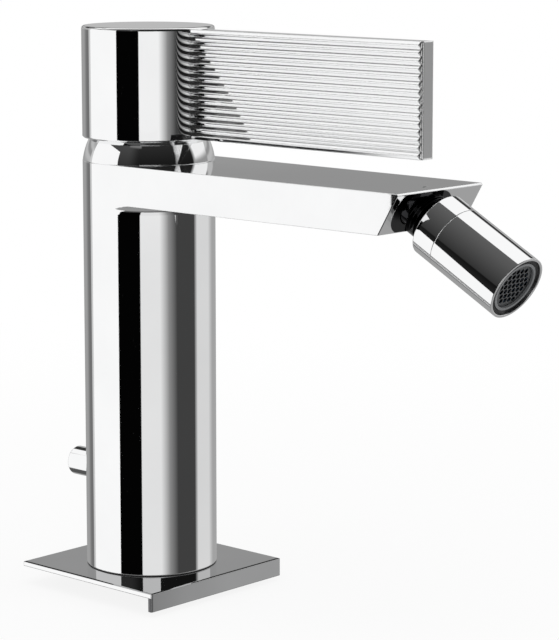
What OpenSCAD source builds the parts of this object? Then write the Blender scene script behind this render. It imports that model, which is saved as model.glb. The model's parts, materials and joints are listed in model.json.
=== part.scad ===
// Single-lever bidet mixer with a swivel outlet and a pop-up waste control.
// Millimetres. Z is up, the spout points along -Y, the origin is on the column axis at the deck.

/* [Column] */
// Outer diameter of the column and of the lever head
body_d = 42; // [38:0.5:56]
// Height of the column above the base plate
body_h = 130.6; // [110:0.1:220]
// Wall of the column tube
body_wall = 2.5; // [1.5:0.1:3]
// Thickness of the ledge that closes the top of the column
ledge_t = 3.1; // [2:0.1:6]

/* [Base] */
// Side of the square base plate
plate_w = 59; // [50:0.5:90]
// Thickness of the base plate
plate_t = 1.5; // [1:0.1:4]
// Radius of the upright corners of the base plate
plate_corner_r = 0.5; // [0.3:0.1:4]
// Width of the bevel along the top edges of the base plate
plate_edge_w = 0.6; // [0.2:0.1:1]
// Slope of that bevel
plate_edge_slope = 20; // [10:1:40]
// Height of the front lip, measured from the top of the plate
lip_h = 5.8; // [4:0.1:15]
// Thickness of the front lip
lip_t = 1.5; // [1:0.1:3]
// Thickness of the deck gasket
gasket_t = 1; // [0.5:0.1:3]
// Step of the gasket inside the lip
gasket_inset = 1; // [0.5:0.1:2]
// Thickness of the seal under the column
foot_seal_t = 0.3; // [0.2:0.05:0.5]
// Step of that seal inside the column
foot_seal_inset = 0.15; // [0.1:0.05:0.5]

/* [Spout] */
// Reach of the spout top edge from the column axis
spout_reach = 118.8; // [90:0.1:200]
// Height of the spout bar
spout_h = 12.35; // [11:0.05:18]
// Width of the spout bar at its tip
spout_tip_w = 38.6; // [34:0.1:42]
// Undercut of the tip face from upright
tip_angle = 31; // [15:0.5:40]
// Width of the chamfer along the top edge of the tip
tip_edge = 0.8; // [0.2:0.1:1.5]
// Radius of the fillet between the column and the underside of the spout
fillet_r = 3; // [1:0.1:5]
// Width of the water channel in the spout
channel_w = 28; // [10:0.5:30]
// Thickness of the wall under the water channel
channel_floor = 2; // [1.5:0.1:3]
// Distance from the spout top edge to the end of the channel
tip_block = 11; // [10:0.1:20]

/* [Outlet] */
// Slope of the outlet axis below the horizontal
outlet_angle = 28.5; // [15:0.5:40]
// Distance of the outlet axis below the middle of the tip face
outlet_drop = 2.7; // [0:0.1:4]
// Distance from the tip face to the barrel
outlet_gap = 4.5; // [3.5:0.1:8]
// Diameter of the boss round the outlet
boss_d = 14.2; // [13:0.1:18]
// Height of the boss above the tip face
boss_h = 1.4; // [0.5:0.1:2]
// Length of the boss inside the spout
boss_root = 5; // [2:0.1:6]
// Diameter of the swivel ball
ball_d = 13.6; // [13:0.1:14]
// Diameter of the ball stud
stud_d = 8.4; // [7:0.1:9]
// Length of the ball stud in the spout
stud_depth = 5.5; // [4:0.1:6]
// Diameter of the waterway through the ball
ball_bore_d = 5; // [3:0.1:5.5]
// Diameter of the barrel
barrel_d = 20; // [19:0.1:30]
// Length of the collar of the barrel
collar_l = 7.4; // [6.5:0.1:12]
// Length of the barrel below its seam
barrel_l = 24.8; // [22:0.1:50]
// Wall of the collar
collar_wall = 1.6; // [1.2:0.1:2]
// Distance from the barrel end to the ball centre
ball_seat_depth = 2.8; // [2.4:0.1:3.5]
// Thickness of the ball seat
seat_t = 1.8; // [1:0.1:2]
// Thickness of the washer behind the ball seat
washer_t = 0.6; // [0.4:0.1:1]
// Length of the aerator pocket
aerator_l = 9.6; // [8:0.1:14]
// Depth of the gap round the aerator
aerator_gap_depth = 2.2; // [1.5:0.1:3]
// Width of the gap round the aerator
aerator_gap_w = 1.25; // [0.8:0.05:1.4]
// Depth of the trim ring in that gap below the barrel end
trim_depth = 0.7; // [0.3:0.1:1]
// Wall of the aerator body
aerator_wall = 0.8; // [0.6:0.1:2]
// Wall of the barrel round the aerator pocket
pocket_wall = 2; // [1.9:0.1:2.5]
// Spacing of the cells in the aerator screen
cell_pitch = 1.85; // [1.2:0.05:2.5]
// Bar between two cells in the aerator screen
cell_bar = 0.4; // [0.2:0.05:0.6]
// Thickness of the aerator screen
screen_t = 0.8; // [0.4:0.1:1.5]
// Depth of the screen below the aerator rim
screen_depth = 0.7; // [0.3:0.1:1.5]
// Thickness of the flow regulator
regulator_t = 3; // [2:0.1:4]

/* [Neck and lever head] */
// Height of the visible neck between the column and the lever head
neck_gap = 7.3; // [6:0.1:12]
// Depth of the lever pivot below the top of the column
pivot_drop = 2.8; // [2:0.1:5]
// Height of the neck inside the lever head
neck_rise = 1.6; // [0.8:0.1:3]
// Mean slope of the neck from upright
neck_slope = 19.8; // [14:0.1:22]
// Wall of the neck at its top
neck_wall = 0.9; // [0.6:0.1:1.5]
// Height of the lever head
knob_h = 35.1; // [32:0.1:60]
// Wall of the lever head
knob_wall = 4; // [3:0.1:5]
// Thickness of the top of the lever head
knob_top_t = 3; // [2:0.1:5]
// Radius of the top edge of the lever head
knob_edge_r = 0.9; // [0.3:0.1:2]
// Chamfer of the bottom edge of the lever head
knob_chamfer = 0.4; // [0.2:0.1:1]
// Clearance between the lever head and the neck
neck_clear = 0.35; // [0.3:0.05:0.8]

/* [Handle] */
// Length of the handle from the column axis
handle_reach = 113.4; // [80:0.1:180]
// Height of the handle plate
handle_h = 34; // [28:0.1:34.5]
// Thickness of the handle plate under the ribs
handle_t = 4.6; // [4:0.1:8]
// Height of the ribs
rib_h = 0.9; // [0.5:0.1:2]
// Number of ribs
rib_n = 15; // [8:1:24]
// Plain margin at the end of the ribs
rib_end = 0.6; // [0.3:0.1:4]
// Slant of the rib ends
rib_slant = 15; // [0:1:30]
// Slope of the margin at the end of the ribs
margin_slope = 13; // [0:1:40]
// Plain margin above and below the tenon of the handle
tenon_margin = 4; // [2:0.5:8]
// Depth of the handle tenon in the lever head
tenon_depth = 2; // [1:0.1:2.5]
// Spacing of the two handle screws
handle_screw_gap = 18; // [12:0.5:20]
// Length of the handle screws in the handle
handle_screw_l = 9; // [5:0.5:15]

/* [Valve] */
// Diameter of the cartridge pocket
cartridge_d = 25; // [25:0.1:26]
// Arm of the lever stem below its pivot
stem_arm = 11.5; // [11:0.1:13]
// Height of the disc carrier
carrier_h = 6; // [5.6:0.1:8]
// Thickness of each ceramic disc
disc_t = 3; // [2:0.1:5]
// Diameter of the moving disc
disc_d = 14; // [13:0.1:15]
// Travel of the moving disc at full lift
disc_travel = 3.55; // [3:0.05:4]
// Thickness of the cartridge base
base_t = 4; // [3:0.1:6]
// Height of the solid core under the cartridge pocket
core_floor_h = 26; // [24:0.5:40]
// Height of the core neck above the column
core_neck_h = 2.9; // [2.5:0.1:4]
// Side offset of the two water inlets
inlet_x = 6.5; // [6:0.1:7]
// Front offset of the two water inlets
inlet_y = 4; // [3.5:0.1:4.5]
// Tapping diameter of the water inlets
inlet_d = 9; // [8:0.1:9.5]
// Depth of the water inlets
inlet_l = 12; // [8:0.5:14]
// Tapping diameter of the fixing stud hole
stud_hole_d = 6.8; // [5:0.1:8.5]
// Depth of the fixing stud hole
stud_hole_l = 14; // [8:0.5:16]
// Rear offset of the fixing stud hole
stud_hole_y = 4; // [3.5:0.1:4.5]
// Diameter of the turret neck
turret_d = 15; // [14.6:0.1:16]
// Width of the lever stem
stem_w = 6; // [5:0.1:6.4]
// Diameter of the lever pivot pin
pivot_d = 3; // [2:0.1:3.2]
// Diameter of the ball tip of the lever stem
tip_d = 5; // [4.4:0.1:5.2]
// Side of the square head of the lever stem
stem_head_w = 8; // [7:0.1:9]
// Length of the square head of the lever stem
stem_head_l = 22; // [18:0.5:24]

/* [Pop-up control] */
// Height of the pop-up knob above the base plate at rest
popup_z = 27.8; // [20:0.1:40]
// Travel of the pop-up knob
popup_travel = 18; // [10:0.5:20]
// Diameter of the pop-up knob
popup_knob_d = 9.4; // [8:0.1:16]
// Length of the pop-up knob
popup_knob_l = 13; // [8:0.1:20]
// Gap between the pop-up knob and the column
popup_gap = 1; // [0.5:0.1:4]
// Diameter of the pop-up pin
popup_pin_d = 3.5; // [3:0.1:4.5]
// Diameter of the lift rod
rod_d = 6; // [5:0.1:6.5]
// Gap between the lift rod and the column wall
rod_inset = 3; // [2.5:0.1:4]
// Length of the lift rod below the pin
rod_below = 24; // [22:0.5:25]
// Diameter of the free end of the lift rod
rod_end_d = 5; // [4:0.1:5.5]
// Length of the free end of the lift rod
rod_end_l = 11.3; // [8:0.1:20]
// Height of the rod guide above the base plate
guide_z = 8; // [4:0.5:12]
// Thickness of the rod guide
guide_t = 8; // [4:0.5:10]

/* [Clearances] */
// Clearance of a part that turns or slides in another
run_clear = 0.3; // [0.3:0.05:0.4]
// Clearance of a part that is fixed in another
fit_clear = 0.05; // [0.02:0.01:0.1]
// Clearance of the core and the cartridge in their bores
slip_clear = 0.1; // [0.05:0.05:0.2]
// Lift between the two ceramic discs
disc_clear = 0.03; // [0.01:0.01:0.05]

/* [Hidden] */
eps = 0.01;
cut = 1;
$fn = 96;
body_r = body_d / 2;
bore_r = body_r - body_wall;
plate_z0 = gasket_t;
plate_z1 = plate_z0 + plate_t;
body_z0 = plate_z1 + foot_seal_t;
body_z1 = plate_z1 + body_h;
ledge_z = body_z1 - ledge_t;
// Spout tip and outlet axis
taper = atan((body_r - spout_tip_w / 2) / spout_reach);
tip_face_l = spout_h / cos(tip_angle);
axis_t = tip_face_l / 2 + outlet_drop;
axis_y = -spout_reach + axis_t * sin(tip_angle);
axis_z = body_z1 - axis_t * cos(tip_angle);
ball_out = outlet_gap + ball_seat_depth;
outlet_y = axis_y - ball_out * cos(outlet_angle);
outlet_z = axis_z - ball_out * sin(outlet_angle);
channel_gap = 0.5;
channel_h = spout_h - channel_floor - ledge_t - channel_gap;
channel_z = body_z1 - spout_h + channel_floor;
ball_r = ball_d / 2;
socket_r = ball_r + run_clear;
barrel_r = barrel_d / 2;
seat_r = barrel_r - collar_wall;
seat_lift = 0.2;
seat_z0 = -seat_lift;
washer_z = seat_z0 + seat_t;
spigot_z = washer_z + washer_t;
seam_z = collar_l - ball_seat_depth;
barrel_z1 = seam_z + barrel_l;
pocket_z = barrel_z1 - aerator_l;
pocket_r = barrel_r - pocket_wall;
aerator_r = pocket_r - slip_clear;
aerator_in = aerator_r - aerator_wall;
aerator_z0 = pocket_z + washer_t;
aerator_recess = 0.5;
aerator_z1 = barrel_z1 - aerator_recess;
gap_r = pocket_r + aerator_gap_w;
barrel_step = 1.5;
barrel_bore_r = ball_r - barrel_step;
stud_relief = 1.5;
screen_z = aerator_z1 - screen_depth - screen_t;
cell_r = (cell_pitch - cell_bar) / sqrt(3);
// Lever pivot, neck and head
pivot_z = body_z1 - pivot_drop;
knob_z0 = body_z1 + neck_gap;
knob_z1 = knob_z0 + knob_h;
knob_in = body_r - knob_wall;
knob_roof = knob_z1 - knob_top_t;
neck_ring_z1 = knob_z0 + neck_rise;
neck_h = neck_ring_z1 - body_z1;
neck_foot_r = body_r - fit_clear;
neck_top_r = neck_foot_r - neck_h * tan(neck_slope);
neck_in = neck_top_r - neck_wall;
dome_z = body_z1 + (pow(neck_h, 2) + pow(neck_top_r, 2) - pow(neck_foot_r, 2)) / (2 * neck_h);
dome_r = sqrt(pow(neck_foot_r, 2) + pow(body_z1 - dome_z, 2));
swing_r = max(sqrt(pow(neck_foot_r, 2) + pow(pivot_drop, 2)),
              sqrt(pow(neck_top_r, 2) + pow(neck_ring_z1 - pivot_z, 2))) + neck_clear;
handle_mid = (knob_z0 + knob_z1) / 2;
handle_z0 = handle_mid - handle_h / 2;
rib_pitch = handle_h / rib_n;
screw_d = 3;
screw_head_d = 5.5;
screw_head_h = 2;
screw_sink = 0.3;
screw_hex = 1.2;
screw_lap = 0.5;
screw_run = 1;
tenon_root = 2;
screw_seat = knob_in + screw_sink;
// Core, cartridge and stem, from the pivot down
core_r = bore_r - slip_clear;
pocket_core_r = cartridge_d / 2;
cart_r = pocket_core_r - slip_clear * 2;
neck_r = neck_in - fit_clear;
neck_z1 = body_z1 + core_neck_h;
tip_z = pivot_z - stem_arm;
carrier_cover = 2.2;
carrier_z1 = tip_z + carrier_cover;
carrier_z0 = carrier_z1 - carrier_h;
disc_z0 = carrier_z0 - disc_t;
fixed_z1 = disc_z0 - disc_clear;
fixed_z0 = fixed_z1 - disc_t;
floor_z = fixed_z0 - base_t;
core_z0 = floor_z - core_floor_h;
house_wall = 1.5;
house_in = cart_r - house_wall;
fixed_r = house_in - run_clear;
disc_r = disc_d / 2;
disc_rest = disc_travel / 2;
turret_r = turret_d / 2;
flange_gap = 0.5;
flange_t = 2.6;
house_lip = 3.4;
nut_h = 5;
nut_slot_w = 4;
nut_slot_h = 2;
flange_z0 = carrier_z1 + flange_gap;
flange_z1 = flange_z0 + flange_t;
house_z1 = flange_z1 + run_clear + house_lip;
turret_z1 = neck_z1;
nut_z1 = house_z1 + nut_h;
disc_rim = 2;
port_r = 2.3;
port_step = 0.3;
seal_r = 0.5;
ring_r = 0.6;
outlet_port_y = 5.5;
riser_w = 8;
riser_t = 2.4;
riser_shift = 0.6;
riser_y = (pocket_core_r + core_r) / 2 - riser_shift;
drill_drop = 6;
drill_z = floor_z - drill_drop;
exit_step = 0.6;
exit_roof = 2.2;
exit_z0 = channel_z + exit_step;
exit_z1 = ledge_z - exit_roof;
ring_drop = 4;
ring_sink = 1;
ring_z_low = channel_z - ring_drop;
ring_z_high = ledge_z - ring_sink;
swing_front = 3.1;
swing_back = 2.4;
stem_arm_t = 3;
head_gap = 3;
head_z0 = turret_z1 + head_gap;
head_z1 = head_z0 + stem_head_l;
hub_r = 8;
hub_lift = 6.5;
hub_z0 = head_z0 + hub_lift;
hub_flange_t = 2;
grub_lift = 6;
grub_z = hub_z0 + grub_lift;
grub_d = 5;
grub_hex = 2;
plug_d = 6;
plug_sink = 0.4;
// Pop-up control
pin_z = plate_z1 + popup_z;
pin_r = popup_pin_d / 2;
rod_r = rod_d / 2;
rod_y = bore_r - rod_inset - rod_r;
knob_y0 = body_r + popup_gap;
knob_y1 = knob_y0 + popup_knob_l;
slot_r = pin_r + run_clear;
guide_wall = 1;
popup_edge = 0.6;
popup_cap = 3;
pin_sink = 0.5;

// Upright prism with rounded corners, centred in plan
module round_plate(w, h, r) {
    translate([-w / 2 + r, -w / 2, 0])
        cube([w - 2 * r, w, h]);
    translate([-w / 2, -w / 2 + r, 0])
        cube([w, w - 2 * r, h]);
    for (x = [-1, 1])
        for (y = [-1, 1])
            translate([x * (w / 2 - r), y * (w / 2 - r), 0])
                cylinder(r = r, h = h);
}

// Ring of round section about Z
module o_ring(r, s) {
    rotate_extrude()
        translate([r, 0])
            circle(r = s, $fn = 32);
}

// Cylinder along Y from y0 to y1
module y_cyl(r, y0, y1) {
    translate([0, y1, 0])
        rotate([90, 0, 0])
            cylinder(r = r, h = y1 - y0);
}

// Frame of the outlet: origin at the ball centre, Z along the outlet axis
module outlet_frame() {
    translate([0, outlet_y, outlet_z])
        rotate([90 + outlet_angle, 0, 0])
            children();
}

module base_plate() {
    color([0.78, 0.79, 0.8])
    difference() {
        union() {
            translate([0, 0, plate_z0])
                round_plate(plate_w, plate_t, plate_corner_r);
            intersection() {
                translate([0, 0, plate_z1 - lip_h])
                    round_plate(plate_w, lip_h, plate_corner_r);
                translate([-plate_w, -plate_w / 2 - cut, plate_z1 - lip_h - cut])
                    cube([2 * plate_w, lip_t + cut, lip_h + 2 * cut]);
            }
        }
        translate([0, 0, plate_z0 - cut])
            cylinder(r = bore_r, h = plate_t + 2 * cut);
        for (a = [0 : 90 : 270])
            rotate(a)
                translate([-plate_w, plate_w / 2 - plate_edge_w, plate_z1])
                    rotate([-plate_edge_slope, 0, 0])
                        cube([2 * plate_w, plate_w, plate_t]);
    }
}

module base_gasket() {
    color([0.12, 0.12, 0.12])
    difference() {
        round_plate(plate_w - 2 * (lip_t + gasket_inset), gasket_t, plate_corner_r);
        translate([0, 0, -cut])
            cylinder(r = bore_r, h = gasket_t + 2 * cut);
    }
}

// Thin seal between the column and the base plate
module foot_seal() {
    color([0.1, 0.1, 0.1])
    translate([0, 0, plate_z1])
        difference() {
            cylinder(r = body_r - foot_seal_inset, h = foot_seal_t);
            translate([0, 0, -cut])
                cylinder(r = bore_r, h = foot_seal_t + 2 * cut);
        }
}

// Plan outline of the spout, tangent to the column, as an upright prism
module spout_prism(z0, h) {
    translate([0, 0, z0])
        linear_extrude(height = h)
            polygon([[body_r * cos(taper), -body_r * sin(taper)],
                     [-body_r * cos(taper), -body_r * sin(taper)],
                     [-spout_tip_w / 2, -spout_reach - cut],
                     [spout_tip_w / 2, -spout_reach - cut]]);
}

// Tapered bar that leaves the column at a tangent, with its undercut tip
module spout_bar() {
    difference() {
        spout_prism(body_z1 - spout_h, spout_h);
        translate([0, -spout_reach, body_z1])
            rotate([tip_angle, 0, 0])
                translate([-body_d, -body_d, -body_d])
                    cube([2 * body_d, body_d, 2 * body_d]);
        translate([0, -spout_reach + tip_edge, body_z1])
            rotate([-45, 0, 0])
                translate([-body_d, -body_d, -body_d])
                    cube([2 * body_d, body_d, 2 * body_d]);
    }
}

// Hollow fillet round the column under the spout
module spout_fillet() {
    intersection() {
        difference() {
            translate([0, 0, body_z1 - spout_h - fillet_r])
                cylinder(r = body_r + fillet_r, h = fillet_r + channel_floor / 2);
            translate([0, 0, body_z1 - spout_h - fillet_r])
                o_ring(body_r + fillet_r, fillet_r);
        }
        spout_prism(body_z1 - spout_h - 2 * fillet_r, spout_h);
    }
}

module popup_slot() {
    translate([-slot_r, 0, pin_z])
        cube([2 * slot_r, body_d, popup_travel]);
    for (z = [pin_z, pin_z + popup_travel])
        translate([0, 0, z])
            y_cyl(slot_r, 0, body_d);
}

module body_shell() {
    color([0.82, 0.83, 0.84])
    difference() {
        union() {
            translate([0, 0, body_z0])
                cylinder(r = body_r, h = body_z1 - body_z0);
            spout_bar();
            spout_fillet();
            outlet_frame()
                translate([0, 0, -ball_out - boss_root])
                    cylinder(d = boss_d, h = boss_root + boss_h);
        }
        translate([0, 0, plate_z1 - cut])
            cylinder(r = bore_r, h = body_h - ledge_t + cut);
        translate([0, 0, plate_z1])
            cylinder(r = neck_r + slip_clear, h = body_h + cut);
        translate([-channel_w / 2, -spout_reach + tip_block, channel_z])
            cube([channel_w, spout_reach - tip_block - core_r + cut * 3, channel_h]);
        outlet_frame()
            translate([0, 0, -ball_out - stud_depth - stud_relief])
                cylinder(d = stud_d + 2 * run_clear, h = ball_out + stud_depth);
        popup_slot();
    }
}

module valve_core() {
    color([0.8, 0.66, 0.36])
    difference() {
        union() {
            translate([0, 0, core_z0])
                cylinder(r = core_r, h = ledge_z - core_z0);
            translate([0, 0, floor_z])
                cylinder(r = neck_r, h = neck_z1 - floor_z);
        }
        translate([0, 0, floor_z])
            cylinder(r = pocket_core_r, h = neck_z1 - floor_z + cut);
        for (x = [-inlet_x, inlet_x])
            translate([x, -inlet_y, core_z0 - cut]) {
                cylinder(d = inlet_d, h = inlet_l + cut);
                cylinder(r = port_r, h = core_floor_h + 2 * cut);
            }
        translate([0, stud_hole_y, core_z0 - cut])
            cylinder(d = stud_hole_d, h = stud_hole_l + cut);
        translate([0, outlet_port_y, drill_z])
            cylinder(r = port_r, h = floor_z - drill_z + cut);
        translate([0, 0, drill_z])
            y_cyl(port_r, -riser_y, outlet_port_y);
        translate([-riser_w / 2, -riser_y - riser_t / 2, drill_z])
            cube([riser_w, riser_t, exit_z1 - drill_z]);
        translate([-riser_w / 2, -body_r, exit_z0])
            cube([riser_w, body_r - riser_y, exit_z1 - exit_z0]);
        for (z = [ring_z_low, ring_z_high])
            translate([0, 0, z - ring_r - fit_clear])
                difference() {
                    cylinder(r = body_r, h = 2 * (ring_r + fit_clear));
                    translate([0, 0, -cut])
                        cylinder(r = core_r - 2 * ring_r - fit_clear, h = 2 * (ring_r + cut + fit_clear));
                }
    }
}

module core_seal_rings() {
    color([0.1, 0.1, 0.1])
    for (z = [ring_z_low, ring_z_high])
        translate([0, 0, z])
            o_ring(core_r - ring_r, ring_r);
}

module neck_ring() {
    color([0.82, 0.83, 0.84])
    difference() {
        intersection() {
            translate([0, 0, dome_z])
                sphere(r = dome_r);
            translate([0, 0, body_z1])
                cylinder(r = body_r, h = neck_h);
        }
        translate([0, 0, body_z1 - cut])
            cylinder(r = neck_in, h = neck_h + 2 * cut);
    }
}

// The three water ports of the cartridge, as cutters of radius r
module ports(r, z0, z1) {
    for (p = [[-inlet_x, -inlet_y], [inlet_x, -inlet_y], [0, outlet_port_y]])
        translate([p[0], p[1], z0])
            cylinder(r = r, h = z1 - z0);
}

module cartridge_base() {
    color([0.9, 0.9, 0.88])
    difference() {
        translate([0, 0, floor_z])
            cylinder(r = cart_r, h = base_t);
        ports(port_r, floor_z - cut, fixed_z0 + cut);
        ports(port_r + 2.2 * seal_r, floor_z - cut, floor_z + 2 * seal_r + fit_clear);
    }
}

module cartridge_seals() {
    color([0.1, 0.1, 0.1])
    for (p = [[-inlet_x, -inlet_y], [inlet_x, -inlet_y], [0, outlet_port_y]])
        translate([p[0], p[1], floor_z + seal_r])
            o_ring(port_r + seal_r, seal_r);
}

module fixed_disc() {
    color([0.95, 0.94, 0.9])
    difference() {
        translate([0, 0, fixed_z0])
            cylinder(r = fixed_r, h = disc_t);
        ports(port_r - port_step, fixed_z0 - cut, fixed_z1 + cut);
    }
}

module cartridge_housing() {
    color([0.88, 0.88, 0.86])
    difference() {
        translate([0, 0, fixed_z0])
            cylinder(r = cart_r, h = house_z1 - fixed_z0);
        translate([0, 0, fixed_z0 - cut])
            cylinder(r = house_in, h = flange_z1 + run_clear - fixed_z0 + cut);
        translate([0, 0, fixed_z0])
            cylinder(r = turret_r + run_clear, h = house_z1 - fixed_z0 + cut);
    }
}

module cartridge_nut() {
    color([0.78, 0.64, 0.34])
    difference() {
        translate([0, 0, house_z1])
            cylinder(r = pocket_core_r - fit_clear, h = nut_z1 - house_z1);
        translate([0, 0, house_z1 - cut])
            cylinder(r = turret_r + 2 * run_clear, h = nut_z1 - house_z1 + 2 * cut);
        translate([-body_r, -nut_slot_w / 2, nut_z1 - nut_slot_h])
            cube([body_d, nut_slot_w, nut_slot_h + cut]);
    }
}

module popup_guide() {
    color([0.9, 0.9, 0.88])
    difference() {
        intersection() {
            translate([0, 0, plate_z1 + guide_z])
                cylinder(r = bore_r - slip_clear, h = guide_t);
            translate([-body_r, rod_y - rod_r - guide_wall, plate_z1 + guide_z - cut])
                cube([body_d, body_r, guide_t + 2 * cut]);
        }
        translate([0, rod_y, plate_z1])
            cylinder(r = rod_r + run_clear, h = guide_z + guide_t + cut);
    }
}

module spindle_turret() {
    color([0.85, 0.85, 0.83])
    difference() {
        union() {
            translate([0, 0, flange_z0])
                cylinder(r = house_in - run_clear, h = flange_z1 - flange_z0);
            translate([0, 0, flange_z0])
                cylinder(r = turret_r, h = turret_z1 - flange_z0);
        }
        translate([-stem_w / 2 - run_clear, -stem_w / 2 - swing_front, flange_z0 - cut])
            cube([stem_w + 2 * run_clear, stem_w + swing_front + run_clear, pivot_z - flange_z0 + cut]);
        translate([-stem_w / 2 - run_clear, -stem_w / 2 - run_clear, pivot_z - eps])
            cube([stem_w + 2 * run_clear, stem_w + swing_back + run_clear, turret_z1 - pivot_z + cut]);
        translate([-body_r, 0, pivot_z])
            rotate([0, 90, 0])
                cylinder(d = pivot_d + 2 * fit_clear, h = body_d);
    }
}

module pivot_pin() {
    color([0.7, 0.71, 0.73])
    translate([-turret_r + run_clear, 0, pivot_z])
        rotate([0, 90, 0])
            cylinder(d = pivot_d, h = turret_d - 2 * run_clear);
}

module disc_carrier() {
    color([0.25, 0.35, 0.55])
    difference() {
        translate([0, disc_rest, carrier_z0])
            cylinder(r = disc_r, h = carrier_h);
        translate([-stem_w / 2 - run_clear, -tip_d / 2 - run_clear, tip_z - tip_d / 2 - run_clear])
            cube([stem_w + 2 * run_clear, tip_d + 2 * run_clear, body_d]);
    }
}

module moving_disc() {
    color([0.95, 0.94, 0.9])
    difference() {
        translate([0, disc_rest, disc_z0])
            cylinder(r = disc_r, h = disc_t);
        translate([0, disc_rest, disc_z0 - cut])
            cylinder(r = disc_r - disc_rim, h = cut + disc_t / 2);
    }
}

module lever_stem() {
    color([0.78, 0.64, 0.34])
    difference() {
        union() {
            translate([-stem_w / 2, 0, tip_z])
                rotate([0, 90, 0])
                    cylinder(d = tip_d, h = stem_w);
            translate([-stem_w / 2, -stem_arm_t / 2, tip_z])
                cube([stem_w, stem_arm_t, pivot_z - tip_z]);
            translate([-stem_w / 2, -stem_w / 2, pivot_z - stem_w / 2])
                cube([stem_w, stem_w, head_z0 - pivot_z + stem_w / 2 + cut]);
            translate([-stem_head_w / 2, -stem_head_w / 2, head_z0])
                cube([stem_head_w, stem_head_w, stem_head_l]);
        }
        translate([-body_r, 0, pivot_z])
            rotate([0, 90, 0])
                cylinder(d = pivot_d + 2 * run_clear, h = body_d);
    }
}

module knob_shell() {
    color([0.82, 0.83, 0.84])
    difference() {
        union() {
            translate([0, 0, knob_z0])
                cylinder(r1 = body_r - knob_chamfer, r2 = body_r, h = knob_chamfer);
            translate([0, 0, knob_z0 + knob_chamfer])
                cylinder(r = body_r, h = knob_h - knob_chamfer - knob_edge_r);
            translate([0, 0, knob_z0 + knob_chamfer])
                cylinder(r = body_r - knob_edge_r, h = knob_h - knob_chamfer);
            translate([0, 0, knob_z1 - knob_edge_r])
                o_ring(body_r - knob_edge_r, knob_edge_r);
        }
        translate([0, 0, pivot_z])
            sphere(r = swing_r);
        translate([0, 0, pivot_z])
            cylinder(r = knob_in, h = knob_roof - pivot_z);
        translate([-handle_t / 2 - fit_clear, -body_d, handle_z0 + tenon_margin - fit_clear])
            cube([handle_t + 2 * fit_clear, body_d - body_r + tenon_depth,
                  handle_h - 2 * tenon_margin + 2 * fit_clear]);
        for (s = [-1, 1])
            translate([0, 0, handle_mid + s * handle_screw_gap / 2]) {
                y_cyl(screw_d / 2 + fit_clear, -body_r, 0);
                y_cyl(screw_head_d / 2 + 2 * fit_clear, -screw_seat, 0);
            }
        translate([0, 0, grub_z])
            y_cyl(plug_d / 2 + fit_clear, 0, body_d);
    }
}

module knob_hub() {
    color([0.6, 0.61, 0.62])
    difference() {
        union() {
            translate([0, 0, hub_z0])
                cylinder(r = hub_r, h = knob_roof - hub_z0);
            translate([0, 0, knob_roof - hub_flange_t])
                cylinder(r = knob_in - fit_clear, h = hub_flange_t);
        }
        translate([-stem_head_w / 2 - fit_clear, -stem_head_w / 2 - fit_clear, hub_z0 - cut])
            cube([stem_head_w + 2 * fit_clear, stem_head_w + 2 * fit_clear, head_z1 - hub_z0 + cut]);
        translate([0, 0, grub_z])
            y_cyl(grub_d / 2 + fit_clear, 0, body_r);
    }
}

module grub_screw() {
    color([0.3, 0.3, 0.31])
    translate([0, 0, grub_z])
        difference() {
            y_cyl(grub_d / 2, stem_head_w / 2, hub_r);
            translate([0, hub_r + cut, 0])
                rotate([90, 0, 0])
                    cylinder(d = grub_d / 2, h = grub_hex + cut, $fn = 6);
        }
}

module index_plug() {
    color([0.8, 0.81, 0.82])
    translate([0, 0, grub_z])
        y_cyl(plug_d / 2, knob_in, body_r - plug_sink);
}

// Cutter at the end of the ribs, turned by angle a about the foot of the ribs
module handle_cut(a) {
    translate([-handle_t / 2, -handle_reach + rib_end, handle_z0 - cut])
        rotate([0, 0, a])
            translate([-handle_reach, -handle_reach, 0])
                cube([2 * handle_reach, handle_reach, handle_h + 2 * cut]);
}

module handle_plate() {
    color([0.84, 0.85, 0.86])
    difference() {
        union() {
            difference() {
                union() {
                    difference() {
                        translate([-handle_t / 2, -handle_reach, handle_z0])
                            cube([handle_t, handle_reach, handle_h]);
                        handle_cut(margin_slope - 90);
                    }
                    difference() {
                        translate([0, 0, handle_z0])
                            rotate([90, 0, 0])
                                linear_extrude(height = handle_reach - rib_end)
                                    polygon(concat([[0, handle_h], [0, 0]],
                                        [for (i = [0 : rib_n - 1]) for (k = [0, 1])
                                            [-handle_t / 2 - k * rib_h, (i + k / 2) * rib_pitch]],
                                        [[-handle_t / 2, handle_h]]));
                        handle_cut(-rib_slant);
                    }
                }
                translate([0, 0, handle_z0 - cut])
                    cylinder(r = body_r + fit_clear, h = handle_h + 2 * cut);
            }
            translate([-handle_t / 2, -body_r - tenon_root, handle_z0 + tenon_margin])
                cube([handle_t, tenon_depth + tenon_root, handle_h - 2 * tenon_margin]);
        }
        for (s = [-1, 1])
            translate([0, 0, handle_mid + s * handle_screw_gap / 2])
                y_cyl(screw_d / 2 + fit_clear, -body_r - handle_screw_l - screw_run, 0);
    }
}

module handle_screws() {
    color([0.7, 0.71, 0.73])
    for (s = [-1, 1])
        translate([0, 0, handle_mid + s * handle_screw_gap / 2])
            difference() {
                union() {
                    y_cyl(screw_d / 2, -body_r - handle_screw_l, -screw_seat + screw_lap);
                    y_cyl(screw_head_d / 2, -screw_seat, -screw_seat + screw_head_h);
                }
                translate([0, -screw_seat + screw_head_h + cut, 0])
                    rotate([90, 0, 0])
                        cylinder(d = screw_d, h = cut + screw_hex, $fn = 6);
            }
}

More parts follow.
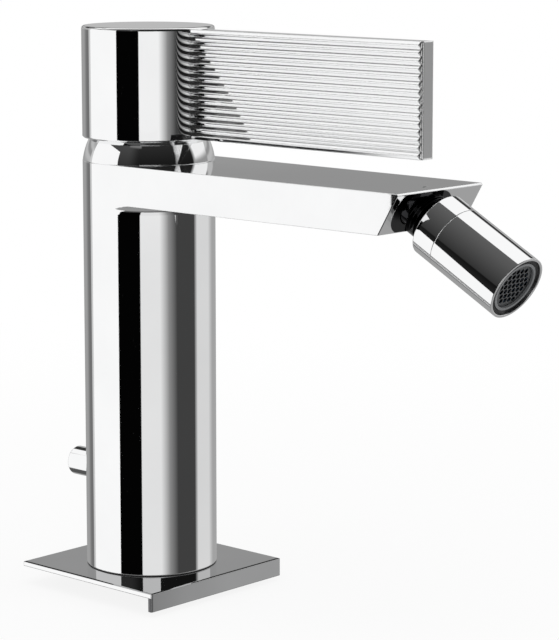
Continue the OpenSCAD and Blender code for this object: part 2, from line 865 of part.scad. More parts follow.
module ball_stud() {
    color([0.75, 0.76, 0.77])
    outlet_frame()
        difference() {
            union() {
                sphere(r = ball_r);
                translate([0, 0, -ball_out - stud_depth])
                    cylinder(d = stud_d, h = ball_out + stud_depth);
            }
            translate([0, 0, -ball_out - stud_depth - cut])
                cylinder(d = ball_bore_d, h = ball_out + stud_depth + ball_d);
            translate([0, 0, -ball_out - stud_depth / 2 - ring_r - fit_clear])
                difference() {
                    cylinder(d = ball_d, h = 2 * (ring_r + fit_clear));
                    translate([0, 0, -cut])
                        cylinder(r = stud_d / 2 - 2 * ring_r - fit_clear,
                                 h = 2 * (ring_r + cut + fit_clear));
                }
        }
}

module ball_stud_seal() {
    color([0.1, 0.1, 0.1])
    outlet_frame()
        translate([0, 0, -ball_out - stud_depth / 2])
            o_ring(stud_d / 2 - ring_r, ring_r);
}

module swivel_collar() {
    color([0.82, 0.83, 0.84])
    outlet_frame()
        difference() {
            translate([0, 0, -ball_seat_depth])
                cylinder(r = barrel_r, h = collar_l);
            sphere(r = socket_r);
            translate([0, 0, seat_z0])
                cylinder(r = seat_r, h = collar_l);
        }
}

module ball_seat() {
    color([0.9, 0.9, 0.88])
    outlet_frame()
        difference() {
            translate([0, 0, seat_z0])
                cylinder(r = seat_r - fit_clear, h = seat_t);
            sphere(r = socket_r);
        }
}

module seat_washer() {
    color([0.1, 0.1, 0.1])
    outlet_frame()
        translate([0, 0, washer_z])
            difference() {
                cylinder(r = seat_r - fit_clear, h = washer_t);
                translate([0, 0, -cut])
                    cylinder(r = socket_r, h = washer_t + 2 * cut);
            }
}

module swivel_barrel() {
    color([0.82, 0.83, 0.84])
    outlet_frame()
        difference() {
            union() {
                translate([0, 0, spigot_z])
                    cylinder(r = seat_r - fit_clear, h = barrel_z1 - spigot_z - aerator_l);
                translate([0, 0, seam_z])
                    cylinder(r = barrel_r, h = barrel_l);
            }
            sphere(r = socket_r);
            cylinder(r = barrel_bore_r, h = barrel_z1);
            translate([0, 0, pocket_z])
                cylinder(r = pocket_r, h = aerator_l + cut);
            translate([0, 0, barrel_z1 - aerator_gap_depth])
                cylinder(r = gap_r, h = aerator_gap_depth + cut);
        }
}

// Black ring in the gap between the barrel and the aerator
module outlet_trim() {
    color([0.08, 0.08, 0.08])
    outlet_frame()
        translate([0, 0, barrel_z1 - aerator_gap_depth])
            difference() {
                cylinder(r = gap_r - fit_clear, h = aerator_gap_depth - trim_depth);
                translate([0, 0, -cut])
                    cylinder(r = pocket_r, h = aerator_gap_depth + 2 * cut);
            }
}

module aerator_seal() {
    color([0.1, 0.1, 0.1])
    outlet_frame()
        translate([0, 0, pocket_z])
            difference() {
                cylinder(r = aerator_r, h = washer_t);
                translate([0, 0, -cut])
                    cylinder(r = barrel_bore_r, h = washer_t + 2 * cut);
            }
}

module aerator_body() {
    color([0.55, 0.56, 0.57])
    outlet_frame()
        translate([0, 0, aerator_z0])
            difference() {
                cylinder(r = aerator_r, h = aerator_z1 - aerator_z0);
                translate([0, 0, -cut])
                    cylinder(r = aerator_in, h = aerator_l + 2 * cut);
            }
}

module flow_regulator() {
    color([0.2, 0.45, 0.4])
    outlet_frame()
        translate([0, 0, aerator_z0])
            difference() {
                cylinder(r = aerator_in - fit_clear, h = regulator_t);
                for (a = [0 : 60 : 300])
                    rotate([0, 0, a])
                        translate([aerator_in * 0.6, 0, -cut])
                            cylinder(r = aerator_in / 7, h = regulator_t + 2 * cut);
            }
}

module aerator_screen() {
    color([0.35, 0.36, 0.37])
    outlet_frame()
        translate([0, 0, screen_z])
            difference() {
                cylinder(r = aerator_in - fit_clear, h = screen_t);
                for (i = [-4 : 4])
                    for (j = [-4 : 4])
                        let (x = (i + j / 2) * cell_pitch, y = j * cell_pitch * sqrt(3) / 2)
                            if (sqrt(x * x + y * y) + cell_r + cell_bar < aerator_in)
                                translate([x, y, -cut])
                                    rotate([0, 0, 30])
                                        cylinder(r = cell_r, h = screen_t + 2 * cut, $fn = 6);
            }
}

module popup_knob() {
    color([0.82, 0.83, 0.84])
    translate([0, 0, pin_z])
        difference() {
            union() {
                y_cyl(popup_knob_d / 2, knob_y0, knob_y1 - popup_edge);
                translate([0, knob_y1 - popup_edge, 0])
                    rotate([-90, 0, 0])
                        cylinder(r1 = popup_knob_d / 2, r2 = popup_knob_d / 2 - popup_edge, h = popup_edge);
            }
            y_cyl(pin_r + fit_clear, 0, knob_y1 - popup_cap);
        }
}

module popup_pin() {
    color([0.7, 0.71, 0.73])
    translate([0, 0, pin_z])
        y_cyl(pin_r, rod_y - rod_r + pin_sink, knob_y1 - popup_cap);
}

module lift_rod() {
    color([0.78, 0.64, 0.34])
    difference() {
        translate([0, rod_y, pin_z - rod_below]) {
            cylinder(r = rod_r, h = rod_below + rod_d);
            translate([0, 0, -rod_end_l])
                cylinder(d = rod_end_d, h = rod_end_l + cut);
        }
        translate([0, 0, pin_z])
            y_cyl(pin_r + fit_clear, 0, body_d);
    }
}

base_plate();
base_gasket();
foot_seal();
body_shell();
valve_core();
core_seal_rings();
neck_ring();
cartridge_base();
cartridge_seals();
fixed_disc();
cartridge_housing();
cartridge_nut();
popup_guide();
spindle_turret();
pivot_pin();
disc_carrier();
moving_disc();
lever_stem();
knob_shell();
knob_hub();
grub_screw();
index_plug();
handle_plate();
handle_screws();
ball_stud();
ball_stud_seal();
swivel_collar();
ball_seat();
seat_washer();
swivel_barrel();
outlet_trim();
aerator_seal();
aerator_body();
flow_regulator();
aerator_screen();
popup_knob();
popup_pin();
lift_rod();
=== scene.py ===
import json
import math

import bmesh
import bpy
from mathutils import Matrix, Vector


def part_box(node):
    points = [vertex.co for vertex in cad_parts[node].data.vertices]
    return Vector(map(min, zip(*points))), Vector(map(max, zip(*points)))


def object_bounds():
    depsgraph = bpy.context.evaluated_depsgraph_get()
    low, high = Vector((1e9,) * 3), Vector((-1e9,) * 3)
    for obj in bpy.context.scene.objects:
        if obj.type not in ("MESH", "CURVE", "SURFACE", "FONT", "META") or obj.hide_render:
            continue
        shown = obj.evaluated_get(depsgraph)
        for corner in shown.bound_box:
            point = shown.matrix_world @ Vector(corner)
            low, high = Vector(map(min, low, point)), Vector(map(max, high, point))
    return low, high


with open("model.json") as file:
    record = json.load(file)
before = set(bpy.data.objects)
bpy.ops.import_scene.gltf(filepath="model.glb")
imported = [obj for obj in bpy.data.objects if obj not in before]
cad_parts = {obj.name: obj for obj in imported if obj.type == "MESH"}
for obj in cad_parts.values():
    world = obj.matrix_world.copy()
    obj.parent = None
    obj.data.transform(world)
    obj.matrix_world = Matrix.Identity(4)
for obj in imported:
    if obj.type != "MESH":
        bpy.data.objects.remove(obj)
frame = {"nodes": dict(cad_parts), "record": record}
cad_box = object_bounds()
nodes = frame["nodes"]
scene = bpy.context.scene
MM = 0.001


# Node helpers

class Tree:
    """A small writer for one node tree."""

    def __init__(self, tree):
        self.tree = tree
        self.tree.nodes.clear()

    def put(self, kind, **settings):
        node = self.tree.nodes.new(kind)
        for key, value in settings.items():
            setattr(node, key, value)
        return node

    def link(self, source, target):
        self.tree.links.new(source, target)

    def feed(self, socket, value):
        """Links another socket to this one, or sets a plain value on it."""
        if isinstance(value, bpy.types.NodeSocket):
            self.link(value, socket)
        else:
            socket.default_value = value

    def math(self, operation, first, second=None):
        node = self.put("ShaderNodeMath", operation=operation)
        self.feed(node.inputs[0], first)
        if second is not None:
            self.feed(node.inputs[1], second)
        return node.outputs[0]

    def add(self, *values):
        total = values[0]
        for value in values[1:]:
            total = self.math("ADD", total, value)
        return total

    def times(self, *values):
        total = values[0]
        for value in values[1:]:
            total = self.math("MULTIPLY", total, value)
        return total

    def minus(self, first, second):
        return self.math("SUBTRACT", first, second)

    def measure(self, operation, first, second=None):
        """One number from one or two vectors."""
        node = self.put("ShaderNodeVectorMath", operation=operation)
        self.feed(node.inputs[0], first)
        if second is not None:
            self.feed(node.inputs[1], second)
        return node.outputs["Value"]

    def split(self, vector):
        node = self.put("ShaderNodeSeparateXYZ")
        self.link(vector, node.inputs[0])
        return node.outputs

    def span(self, value, start, end, out_start=0.0, out_end=1.0, smooth=True):
        """Goes from out_start to out_end while the value goes from start to end."""
        kind = "SMOOTHSTEP" if smooth else "LINEAR"
        node = self.put("ShaderNodeMapRange", interpolation_type=kind)
        for i, part in enumerate((value, start, end, out_start, out_end)):
            self.feed(node.inputs[i], part)
        return node.outputs[0]

    def within(self, value, start, end, soft):
        """1 between start and end, with edges twice as wide as soft."""
        rising = self.span(value, start - soft, start + soft)
        falling = self.span(value, end - soft, end + soft, 1.0, 0.0)
        return self.times(rising, falling)

    def mix(self, share, first, second):
        node = self.put("ShaderNodeMix", data_type="FLOAT")
        self.feed(node.inputs[0], share)
        self.feed(node.inputs[2], first)
        self.feed(node.inputs[3], second)
        return node.outputs[0]

    def tint(self, share, colour, second):
        node = self.put("ShaderNodeMix", data_type="RGBA")
        self.feed(node.inputs[0], share)
        self.feed(node.inputs[6], colour)
        self.feed(node.inputs[7], (*second, 1.0))
        return node.outputs[2]

    def noise(self, vector, scale, detail=2.0, rough=0.5):
        node = self.put("ShaderNodeTexNoise")
        self.link(vector, node.inputs["Vector"])
        node.inputs["Scale"].default_value = scale
        node.inputs["Detail"].default_value = detail
        node.inputs["Roughness"].default_value = rough
        return node.outputs[0]

    def stretch(self, vector, scale, turn=(0, 0, 0)):
        node = self.put("ShaderNodeMapping")
        self.link(vector, node.inputs["Vector"])
        node.inputs["Scale"].default_value = scale
        node.inputs["Rotation"].default_value = turn
        return node.outputs[0]

    def ramp(self, value, dark, light, start=0.3, end=0.7):
        node = self.put("ShaderNodeValToRGB")
        for stop, position, colour in zip(node.color_ramp.elements, (start, end), (dark, light)):
            stop.position = position
            stop.color = (*colour, 1.0)
        self.link(value, node.inputs[0])
        return node.outputs[0]

    def bump(self, height, strength, distance, normal):
        node = self.put("ShaderNodeBump")
        node.inputs["Strength"].default_value = strength
        node.inputs["Distance"].default_value = distance
        self.link(height, node.inputs["Height"])
        self.link(normal, node.inputs["Normal"])
        return node.outputs[0]

    def rounded(self, radius):
        node = self.put("ShaderNodeBevel", samples=8)
        node.inputs["Radius"].default_value = radius
        return node.outputs[0]

    def seen_white(self):
        """1 for rays from the camera and from polished or clear surfaces, 0 for other light."""
        path = self.put("ShaderNodeLightPath").outputs
        shiny = self.math("MAXIMUM", path["Is Glossy Ray"], path["Is Transmission Ray"])
        return self.math("MAXIMUM", path["Is Camera Ray"], shiny)


def shade(name, metallic=0.0, **sockets):
    """A new material with a Principled shader whose even sockets are set directly."""
    material = bpy.data.materials.new(name)
    material.use_nodes = True
    tree = Tree(material.node_tree)
    shader = tree.put("ShaderNodeBsdfPrincipled")
    shader.inputs["Metallic"].default_value = metallic
    for key, value in sockets.items():
        shader.inputs[key.replace("_", " ")].default_value = value
    tree.link(shader.outputs[0], tree.put("ShaderNodeOutputMaterial").inputs[0])
    coords = tree.put("ShaderNodeTexCoord").outputs
    return material, tree, shader.inputs, coords


# Finishes

BRIGHT, WORN = (0.945, 0.948, 0.95), (0.918, 0.921, 0.925)
# Painted shade: a darker copy of the same chrome for the base plate, so that its top reads grey
PLATE_SHADE_BRIGHT, PLATE_SHADE_WORN = (0.435, 0.437, 0.44), (0.41, 0.412, 0.415)
# Painted shade for the plate's lip ends, dark and rougher
LIP_END_SHADE, LIP_END_SHADE_ROUGH = (0.17, 0.17, 0.175), 0.4
# Painted shade for the swivel collar's back faces
BACK_FACE_SHADE, BACK_FACE_SHADE_ROUGH = (0.02, 0.02, 0.021), 0.3
# Painted shade for the boss round the ball, with its reach and soft edge
BOSS_PAINTED_SHADE, BOSS_REACH, BOSS_EDGE = (0.05, 0.05, 0.052), 11.5 * MM, 0.2 * MM
WIPE_SCALE, WIPE_TURN = (2600.0, 260.0, 160.0), (0.3, 0.5, 0.2)
CUT_EDGE = 0.2 * MM
# Length of one wave of the wave texture at scale 1
WAVE_LENGTH = 0.314


def chrome(name, light, dark, rough, ripple, edge, painted_sides_below=None, shade_facing_axis=None, shade_round_point=None):
    """Polished plate: faint film and wipe marks in the gloss, edges eased by buffing.
    With a height for the plate, side faces get a painted highlight, and under that height a painted shade,
    dark and rougher.
    With an axis, faces that look against that direction get a painted shade, dark and rougher.
    With a point, the boss round that point gets a painted shade, near black."""
    material, tree, shader, coords = shade(name, metallic=1.0)
    place, facing = coords["Object"], coords["Normal"]
    film = tree.noise(place, scale=38.0, detail=4.0, rough=0.6)
    wipe = tree.noise(tree.stretch(place, WIPE_SCALE, WIPE_TURN), scale=1.0)
    speck = tree.noise(place, scale=2400.0)
    colour = tree.ramp(film, dark, light, 0.35, 0.65)
    soft = tree.rounded(edge)
    flatness = tree.measure("DOT_PRODUCT", soft, tree.put("ShaderNodeNewGeometry").outputs["Normal"])
    gloss = tree.add(tree.span(film, 0.3, 0.75, rough * 0.6, rough * 1.3),
                     tree.span(wipe, 0.62, 0.8, 0.0, rough * 0.8),
                     tree.span(flatness, 1.0, 0.9, 0.0, rough * 1.5))
    # Painted highlight on the side faces, and painted shade on their ends below the height
    if painted_sides_below is not None:
        painted_flank = tree.span(tree.math("ABSOLUTE", tree.split(facing)["X"]), 0.6, 0.75)
        colour = tree.tint(painted_flank, colour, BRIGHT)
        low = tree.span(tree.split(place)["Z"], painted_sides_below + CUT_EDGE, painted_sides_below)
        lip_end_shade = tree.times(painted_flank, low)
        colour = tree.tint(lip_end_shade, colour, LIP_END_SHADE)
        gloss = tree.mix(lip_end_shade, gloss, LIP_END_SHADE_ROUGH)
    # Painted shade on faces that look back along the axis
    if shade_facing_axis is not None:
        back_face_shade = tree.span(tree.measure("DOT_PRODUCT", facing, shade_facing_axis), -0.25, -0.4)
        colour = tree.tint(back_face_shade, colour, BACK_FACE_SHADE)
        gloss = tree.mix(back_face_shade, gloss, BACK_FACE_SHADE_ROUGH)
    # Painted shade on the boss round the ball
    if shade_round_point is not None:
        boss = tree.span(tree.measure("DISTANCE", place, shade_round_point), BOSS_REACH + BOSS_EDGE, BOSS_REACH)
        colour = tree.tint(boss, colour, BOSS_PAINTED_SHADE)
    tree.link(colour, shader["Base Color"])
    tree.link(gloss, shader["Roughness"])
    relief = tree.add(film, tree.times(speck, 0.05))
    tree.link(tree.bump(relief, ripple, 0.04 * MM, soft), shader["Normal"])
    return material


def turned(name, light, dark, rough, pitch, axis):
    """Machined metal: fine tool rings along one axis, with a slow change of tone."""
    material, tree, shader, coords = shade(name, metallic=1.0)
    tone = tree.noise(coords["Object"], scale=70.0, detail=3.0)
    rings = tree.put("ShaderNodeTexWave", bands_direction=axis)
    tree.link(coords["Object"], rings.inputs["Vector"])
    rings.inputs["Scale"].default_value = WAVE_LENGTH / pitch
    rings.inputs["Distortion"].default_value = 0.4
    rings.inputs["Detail"].default_value = 2.0
    tree.link(tree.ramp(tone, dark, light), shader["Base Color"])
    tree.link(tree.span(tone, 0.3, 0.7, rough * 0.8, rough * 1.25), shader["Roughness"])
    relief = tree.bump(rings.outputs["Fac"], 0.25, pitch * 0.08, tree.rounded(CUT_EDGE))
    tree.link(relief, shader["Normal"])
    return material


def moulded(name, light, dark, rough, grain, **sockets):
    """Moulded plastic, rubber or ceramic: soft mottling and a fine die texture."""
    material, tree, shader, coords = shade(name, **sockets)
    tone = tree.noise(coords["Object"], scale=55.0, detail=3.0)
    skin = tree.noise(coords["Object"], scale=grain, detail=3.0, rough=0.6)
    tree.link(tree.ramp(tone, dark, light), shader["Base Color"])
    tree.link(tree.span(skin, 0.3, 0.7, rough * 0.85, rough * 1.15), shader["Roughness"])
    tree.link(tree.bump(skin, 0.3, 0.08 * MM, tree.rounded(CUT_EDGE)), shader["Normal"])
    return material


def cast(name, light, dark, rough):
    """Die-cast zinc: grain, small pits and flow marks."""
    material, tree, shader, coords = shade(name, metallic=1.0)
    flow = tree.noise(tree.stretch(coords["Object"], (90.0, 240.0, 90.0)), scale=1.0, detail=4.0)
    pits = tree.put("ShaderNodeTexVoronoi", feature="F1")
    tree.link(coords["Object"], pits.inputs["Vector"])
    pits.inputs["Scale"].default_value = 1400.0
    tree.link(tree.ramp(flow, dark, light), shader["Base Color"])
    tree.link(tree.span(flow, 0.3, 0.7, rough * 0.8, rough * 1.2), shader["Roughness"])
    relief = tree.bump(pits.outputs["Distance"], 0.3, 0.1 * MM, tree.rounded(CUT_EDGE))
    tree.link(relief, shader["Normal"])
    return material


plate_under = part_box("base_gasket")[1][2]
joint = {j["name"]: j for j in frame["record"]["behaviour"]["joints"]}
outlet_axis = joint["outlet_spin"]["axis"]
ball_place = joint["outlet_tilt"]["pos_m"]
mats = {
    "chrome_body": chrome("chrome_body", BRIGHT, WORN, rough=0.03, ripple=0.03, edge=0.4 * MM,
                          shade_round_point=ball_place),
    # The base plate takes the darker copy of the chrome, a painted shade
    "chrome_plate": chrome("chrome_plate", PLATE_SHADE_BRIGHT, PLATE_SHADE_WORN, rough=0.03, ripple=0.03, edge=0.3 * MM,
                           painted_sides_below=plate_under),
    "chrome_turned": chrome("chrome_turned", BRIGHT, WORN, rough=0.025, ripple=0.02, edge=0.3 * MM),
    "chrome_ribs": chrome("chrome_ribs", BRIGHT, WORN, rough=0.04, ripple=0.02, edge=0.7 * MM),
    "chrome_collar": chrome("chrome_collar", BRIGHT, WORN, rough=0.025, ripple=0.02, edge=0.3 * MM,
                            shade_facing_axis=outlet_axis),
    # Painted shade: the ball stud's chrome is made near black, standing in for its dark reflection
    "black_chrome": chrome("black_chrome", (0.04, 0.04, 0.042), (0.025, 0.025, 0.027), rough=0.1,
                           ripple=0.02, edge=0.3 * MM),
    "brass": turned("brass", (0.80, 0.64, 0.34), (0.70, 0.54, 0.27), rough=0.28, pitch=0.4 * MM, axis="Z"),
    "steel": turned("steel", (0.66, 0.67, 0.69), (0.55, 0.56, 0.58), rough=0.3, pitch=0.3 * MM, axis="Y"),
    "screen_steel": turned("screen_steel", (0.24, 0.245, 0.25), (0.15, 0.155, 0.16), rough=0.38,
                           pitch=0.2 * MM, axis="X"),
    "zinc": cast("zinc", (0.58, 0.59, 0.61), (0.48, 0.49, 0.51), rough=0.42),
    "rubber": moulded("rubber", (0.075, 0.075, 0.078), (0.045, 0.045, 0.046), rough=0.7, grain=1800.0),
    "black_plastic": moulded("black_plastic", (0.016, 0.016, 0.017), (0.009, 0.009, 0.01), rough=0.45,
                             grain=1500.0),
    "white_plastic": moulded("white_plastic", (0.87, 0.87, 0.85), (0.80, 0.80, 0.77), rough=0.42,
                             grain=1500.0, Subsurface_Weight=0.08, Subsurface_Scale=MM),
    "blue_plastic": moulded("blue_plastic", (0.18, 0.31, 0.50), (0.13, 0.24, 0.41), rough=0.4, grain=1500.0),
    "grey_plastic": moulded("grey_plastic", (0.22, 0.225, 0.23), (0.16, 0.165, 0.17), rough=0.36,
                            grain=1500.0),
    "ceramic": moulded("ceramic", (0.94, 0.93, 0.89), (0.89, 0.875, 0.83), rough=0.12, grain=2600.0,
                       Coat_Weight=0.4, Coat_Roughness=0.05),
}

finish_of = {
    "chrome_body": "body_shell neck_ring index_plug",
    "chrome_plate": "base_plate",
    "chrome_turned": "knob_shell swivel_barrel popup_knob",
    "chrome_collar": "swivel_collar",
    "chrome_ribs": "handle_plate",
    "black_chrome": "ball_stud",
    "brass": "valve_core cartridge_nut lever_stem lift_rod",
    "steel": "pivot_pin grub_screw handle_screws popup_pin",
    "screen_steel": "aerator_screen",
    "zinc": "knob_hub",
    "rubber": "base_gasket foot_seal core_seal_rings cartridge_seals ball_stud_seal seat_washer aerator_seal",
    "black_plastic": "outlet_trim",
    "white_plastic": "cartridge_base cartridge_housing popup_guide spindle_turret ball_seat",
    "blue_plastic": "disc_carrier flow_regulator",
    "grey_plastic": "aerator_body",
    "ceramic": "fixed_disc moving_disc",
}
for key, names in finish_of.items():
    for name in names.split():
        mesh = nodes[name].data
        if not mesh.materials:
            mesh.materials.append(mats[key])
        for i in range(len(mesh.materials)):
            mesh.materials[i] = mats[key]

# The foot of the column mirrors the studio cards, not what it stands on
for name in ("base_plate", "base_gasket"):
    nodes[name].visible_glossy = False


# Floor

def stage_object(name, bm, place=(0, 0, 0)):
    mesh = bpy.data.meshes.new(name)
    bm.to_mesh(mesh)
    bm.free()
    o = bpy.data.objects.new(name, mesh)
    o.location = place
    scene.collection.objects.link(o)
    return o


def plain_material(name):
    material = bpy.data.materials.new(name)
    material.use_nodes = True
    tree = Tree(material.node_tree)
    surface = tree.put("ShaderNodeOutputMaterial").inputs[0]
    place = tree.put("ShaderNodeTexCoord").outputs["Object"]
    return material, tree, surface, place


FLOOR_HALF, FLOOR_GAP = 12.0, 0.1 * MM
PAPER_DARK, PAPER_LIGHT = (0.90, 0.90, 0.90), (0.92, 0.92, 0.92)
# The floor turns from paper that takes the shadow to even white between these distances
FADE_FROM, FADE_TO, FADE_NEAR, FADE_FAR = 0.05, 0.5, 0.88, 1.0
bm = bmesh.new()
bmesh.ops.create_grid(bm, x_segments=1, y_segments=1, size=FLOOR_HALF)
floor = stage_object("floor", bm, (0, 0, cad_box[0][2] - FLOOR_GAP))
floor.visible_glossy = False
material, tree, surface, place = plain_material("floor_paper")
paper = tree.put("ShaderNodeBsdfDiffuse")
tree.link(tree.ramp(tree.noise(place, scale=3.0, detail=3.0), PAPER_DARK, PAPER_LIGHT), paper.inputs[0])
white = tree.put("ShaderNodeEmission")
fade = tree.span(tree.measure("LENGTH", place), FADE_FROM, FADE_TO, FADE_NEAR, FADE_FAR)
both = tree.put("ShaderNodeMixShader")
tree.link(tree.times(fade, tree.seen_white()), both.inputs[0])
tree.link(paper.outputs[0], both.inputs[1])
tree.link(white.outputs[0], both.inputs[2])
tree.link(both.outputs[0], surface)
floor.data.materials.append(material)

# Studio cards, seen only in the polish: a white panel close on the left, a low card in front and a wide tent

CAM_TURN = math.radians(-44.675)
ahead_v = Vector((math.sin(CAM_TURN), -math.cos(CAM_TURN), 0))
right_v = Vector((math.cos(CAM_TURN), math.sin(CAM_TURN), 0))
up_v = Vector((0, 0, 1))
MIDDLE = up_v * 90 * MM


def polish_only(o):
    """Hides a stage object from all but reflections, and makes it glow."""
    for flag in ("camera", "diffuse", "transmission", "shadow", "volume_scatter"):
        setattr(o, "visible_" + flag, False)
    material, tree, surface, place = plain_material(o.name + "_cloth")
    material.cycles.emission_sampling = "NONE"
    glow = tree.put("ShaderNodeEmission")
    tree.link(glow.outputs[0], surface)
    o.data.materials.append(material)
    return tree, glow.inputs["Strength"], place


def upright_card(name, start, run, low, high, light):
    """A flat upright card from a floor point along run, between two heights."""
    bm = bmesh.new()
    end = start + run
    corners = (start + up_v * low, end + up_v * low, end + up_v * high, start + up_v * high)
    bm.faces.new([bm.verts.new(corner) for corner in corners])
    strength = polish_only(stage_object(name, bm))[1]
    strength.default_value = light


PANEL_OFF, PANEL_BACK, PANEL_W = 169 * MM, 71 * MM, 194 * MM
upright_card("white_panel", ahead_v * -PANEL_BACK - right_v * PANEL_OFF, ahead_v * PANEL_W,
             low=-140 * MM, high=233 * MM, light=1.0)
LOW_CARD_OFF, LOW_CARD_LEFT, LOW_CARD_W = 350 * MM, 98 * MM, 188 * MM
upright_card("low_card", ahead_v * LOW_CARD_OFF - right_v * LOW_CARD_LEFT, right_v * LOW_CARD_W,
             low=80 * MM, high=112 * MM, light=0.9)

TENT_R = 3.0
bm = bmesh.new()
bmesh.ops.create_uvsphere(bm, u_segments=64, v_segments=32, radius=TENT_R)
tree, strength, place = polish_only(stage_object("light_tent", bm, MIDDLE))

# Side: degrees round the column from the camera, plus to the right of the picture. Rise: degrees up.
# Tones are strengths, where 1 is white. A pair of degrees is where a change starts and ends.
ahead = tree.measure("DOT_PRODUCT", place, ahead_v)
right = tree.measure("DOT_PRODUCT", place, right_v)
height = tree.measure("DOT_PRODUCT", place, up_v)
level = tree.math("SQRT", tree.add(tree.times(ahead, ahead), tree.times(right, right)))
side = tree.math("DEGREES", tree.math("ARCTAN2", right, ahead))
rise = tree.math("DEGREES", tree.math("ARCTAN2", height, level))
round_back = tree.math("ABSOLUTE", side)
on_right = tree.math("GREATER_THAN", side, 0.0)
SEAM, WIDE_SEAM = (-1.5, 1.5), (-2.0, 2.0)

# Front: a black flag, then a light card that fades to a dark one, then the pale right side
FLAG_SIDES, FLAG_TONES = (-60.0, -86.0), (0.001, 0.016)
CARD_LEFT, CARD_RISE, CARD_TONES = (-17.0, -16.0), (-9.0, -4.0), (0.80, 0.92)
GREY_SIDES, GREY_TONE = (17.0, 33.0), 0.26
DARK_SIDES, DARK_TONE = (33.0, 48.0), 0.052
RIM_SIDES, RIM_TONE = (83.0, 86.0), 0.31
PALE_SIDES, PALE_RISE, PALE_TONES = (86.0, 91.0), (6.0, 15.0), (0.3, 0.9)
PALE_FOOT_RISE, PALE_FOOT_TONE = (-5.2, -5.8), 0.7
cloth = tree.span(side, *FLAG_SIDES, *FLAG_TONES)
lit = tree.span(rise, *CARD_RISE, *CARD_TONES)
pale = tree.span(rise, *PALE_RISE, *PALE_TONES)
pale = tree.mix(tree.span(rise, *PALE_FOOT_RISE), pale, PALE_FOOT_TONE)
card = tree.mix(tree.span(side, *GREY_SIDES, smooth=False), lit, GREY_TONE)
card = tree.mix(tree.span(side, *DARK_SIDES, smooth=False), card, DARK_TONE)
card = tree.mix(tree.span(side, *RIM_SIDES), card, RIM_TONE)
card = tree.mix(tree.span(side, *PALE_SIDES), card, pale)
cloth = tree.mix(tree.span(side, *CARD_LEFT), cloth, card)

# Dark room over and behind the camera
CENTRE_RISE, CENTRE_TONES = (0.0, 40.0), (0.005, 0.024)
CENTRE_TOP_RISE, CENTRE_TOP_TONES = (40.0, 85.0), (0.0, 0.09)
LEFT_SIDES, LEFT_RISE, LEFT_TONES = (-16.0, -40.0), (0.0, 85.0), (0.026, 0.115)
CARD_TOP_SIDES, CARD_TOP_RISES = (15.0, 25.0), (7.0, 2.0)
ROOM_LEFT, ROOM_RIGHT, ROOM_SOFT = -105.0, 84.0, 3.0
centre = tree.add(tree.span(rise, *CENTRE_RISE, *CENTRE_TONES, smooth=False),
                  tree.span(rise, *CENTRE_TOP_RISE, *CENTRE_TOP_TONES, smooth=False))
left = tree.span(rise, *LEFT_RISE, *LEFT_TONES, smooth=False)
room = tree.mix(tree.span(side, *LEFT_SIDES), centre, left)
card_top = tree.span(side, *CARD_TOP_SIDES, *CARD_TOP_RISES)
over = tree.span(tree.minus(rise, card_top), *WIDE_SEAM)
cloth = tree.mix(tree.times(over, tree.within(side, ROOM_LEFT, ROOM_RIGHT, ROOM_SOFT)), cloth, room)

# Pale left side, thinner over the panel
THIN_SIDES, THIN_RISE, THIN_TONES = (-106.0, -112.0), (10.0, 18.0), (0.62, 0.4)
thin = tree.span(rise, *THIN_RISE, *THIN_TONES)
cloth = tree.mix(tree.span(side, *THIN_SIDES), cloth, thin)

# Grey wall behind, with a bright band at the horizon and a dark top
WALL_LEFT_SIDES, WALL_LEFT_TONES = (-148.0, -131.0), (0.35, 0.17)
WALL_RIGHT_SIDES, WALL_RIGHT_TONES = (118.0, 142.0), (0.7, 0.38)
HORIZON_RISE, HORIZON_TONE = (-2.0, 3.0), 0.5
BAND_LOW, BAND_HIGH, BAND_SOFT, BAND_TONE = 6.0, 11.0, 1.5, 0.29
WALL_TOP_RISE, WALL_TOP_TONE = (17.0, 22.0), 0.04
REAR_RISE, REAR_SIDES = (12.0, 38.0), (124.0, 152.0)
wall = tree.mix(on_right, tree.span(side, *WALL_LEFT_SIDES, *WALL_LEFT_TONES),
                tree.span(side, *WALL_RIGHT_SIDES, *WALL_RIGHT_TONES))
wall = tree.mix(tree.span(rise, *HORIZON_RISE), wall, HORIZON_TONE)
wall = tree.mix(tree.within(rise, BAND_LOW, BAND_HIGH, BAND_SOFT), wall, BAND_TONE)
wall = tree.mix(tree.span(rise, *WALL_TOP_RISE), wall, WALL_TOP_TONE)
rear = tree.span(rise, *REAR_RISE, *REAR_SIDES, smooth=False)
cloth = tree.mix(tree.span(tree.minus(round_back, rear), *SEAM), cloth, wall)

# White roof over the sides and the back
EAVES_SIDES, EAVES_RISES = (148.0, 154.0), (37.0, 46.0)
ROOF_SIDES, ROOF_TONE = (86.0, 94.0), 1.0
eaves = tree.span(round_back, *EAVES_SIDES, *EAVES_RISES)
roof = tree.times(tree.span(tree.minus(rise, eaves), *SEAM), tree.span(round_back, *ROOF_SIDES))
cloth = tree.mix(roof, cloth, ROOF_TONE)

# A dark gap in the roof on the left, and a grey cloth over the camera's left
GAP_SIDES, GAP_RISES, GAP_TONE = (-136.0, -123.0, 1.5), (46.5, 51.5, 1.0), 0.02
VEIL_SIDES, VEIL_RISES, VEIL_TONE = (-40.0, -15.5, 1.5), (38.0, 50.0, 2.0), 0.18
gap = tree.times(tree.within(side, *GAP_SIDES), tree.within(rise, *GAP_RISES))
cloth = tree.mix(gap, cloth, GAP_TONE)
veil = tree.times(tree.within(side, *VEIL_SIDES), tree.within(rise, *VEIL_RISES))
cloth = tree.mix(veil, cloth, VEIL_TONE)

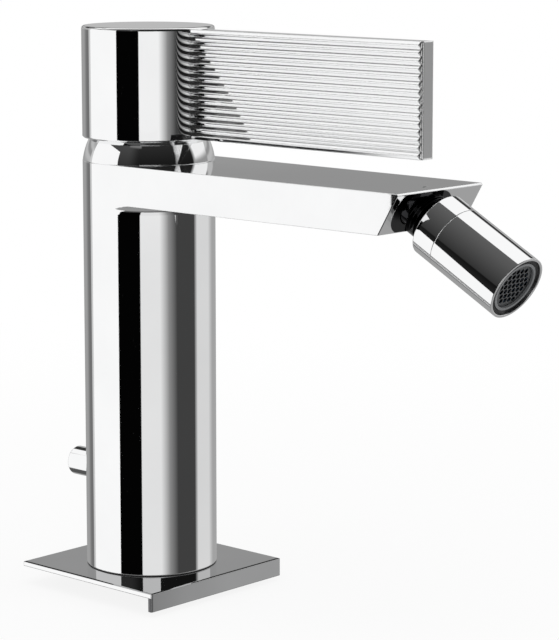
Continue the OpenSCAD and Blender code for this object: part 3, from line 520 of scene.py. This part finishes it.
# Grey under the set, higher on the right
UNDER_SIDES, UNDER_RISES = (60.0, 85.0), (-40.0, -28.0)
UNDER_LEFT_RISE, UNDER_LEFT_TONES, UNDER_RIGHT_TONE = (-50.0, -60.0), (0.09, 0.3), 0.36
under = tree.mix(tree.span(side, *UNDER_SIDES), tree.span(rise, *UNDER_LEFT_RISE, *UNDER_LEFT_TONES),
                 UNDER_RIGHT_TONE)
low = tree.span(side, *UNDER_SIDES, *UNDER_RISES)
cloth = tree.mix(tree.math("LESS_THAN", rise, low), cloth, under)
tree.link(cloth, strength)

# Studio light

SKY_LIGHT, SKY_WHITE = 0.6, 1.0
world = bpy.data.worlds.new("studio")
scene.world = world
world.use_nodes = True
tree = Tree(world.node_tree)
sky = tree.put("ShaderNodeBackground")
tree.link(sky.outputs[0], tree.put("ShaderNodeOutputWorld").inputs[0])
tree.link(tree.mix(tree.seen_white(), SKY_LIGHT, SKY_WHITE), sky.inputs[1])
sky.inputs[0].default_value = (1.0, 1.0, 1.0, 1.0)


def lamp(name, place, size, power):
    """A round soft lamp that points at the middle of the part and isn't seen in the polish."""
    light = bpy.data.lights.new(name, "AREA")
    light.shape = "DISK"
    light.size = size
    light.energy = power
    o = bpy.data.objects.new(name, light)
    o.location = place
    o.rotation_euler = (MIDDLE - Vector(place)).to_track_quat("-Z", "Y").to_euler()
    o.visible_glossy = False
    scene.collection.objects.link(o)


lamp("soft_top", place=(-0.35, -0.25, 1.5), size=1.4, power=7.0)
lamp("soft_side", place=(0.9, -1.1, 0.7), size=0.9, power=3.0)

# Camera, fitted to the edges in the photograph

FOCAL_PX, IMAGE_HIGH = 2538.6, 640
CAM_DIST, CAM_HIGH = 802.28 * MM, 218.09 * MM
YAW, PITCH = math.radians(-47.631), math.radians(8.532)
SHIFT_Y = -0.08
CLIP_NEAR, CLIP_FAR = 0.01, 60.0
cam = bpy.data.cameras.new("camera")
cam.sensor_width = 36.0
cam.lens = FOCAL_PX * cam.sensor_width / IMAGE_HIGH
cam.shift_y = SHIFT_Y
cam.clip_start = CLIP_NEAR
cam.clip_end = CLIP_FAR
look_v = Vector((-math.sin(YAW) * math.cos(PITCH), math.cos(YAW) * math.cos(PITCH), -math.sin(PITCH)))
side_v = Vector((math.cos(YAW), math.sin(YAW), 0))
turn = Matrix((side_v, side_v.cross(look_v), -look_v)).transposed().to_4x4()
cam_ob = bpy.data.objects.new("camera", cam)
cam_ob.matrix_world = Matrix.Translation(ahead_v * CAM_DIST + up_v * CAM_HIGH) @ turn
scene.collection.objects.link(cam_ob)
scene.camera = cam_ob

scene.view_settings.view_transform = "Standard"
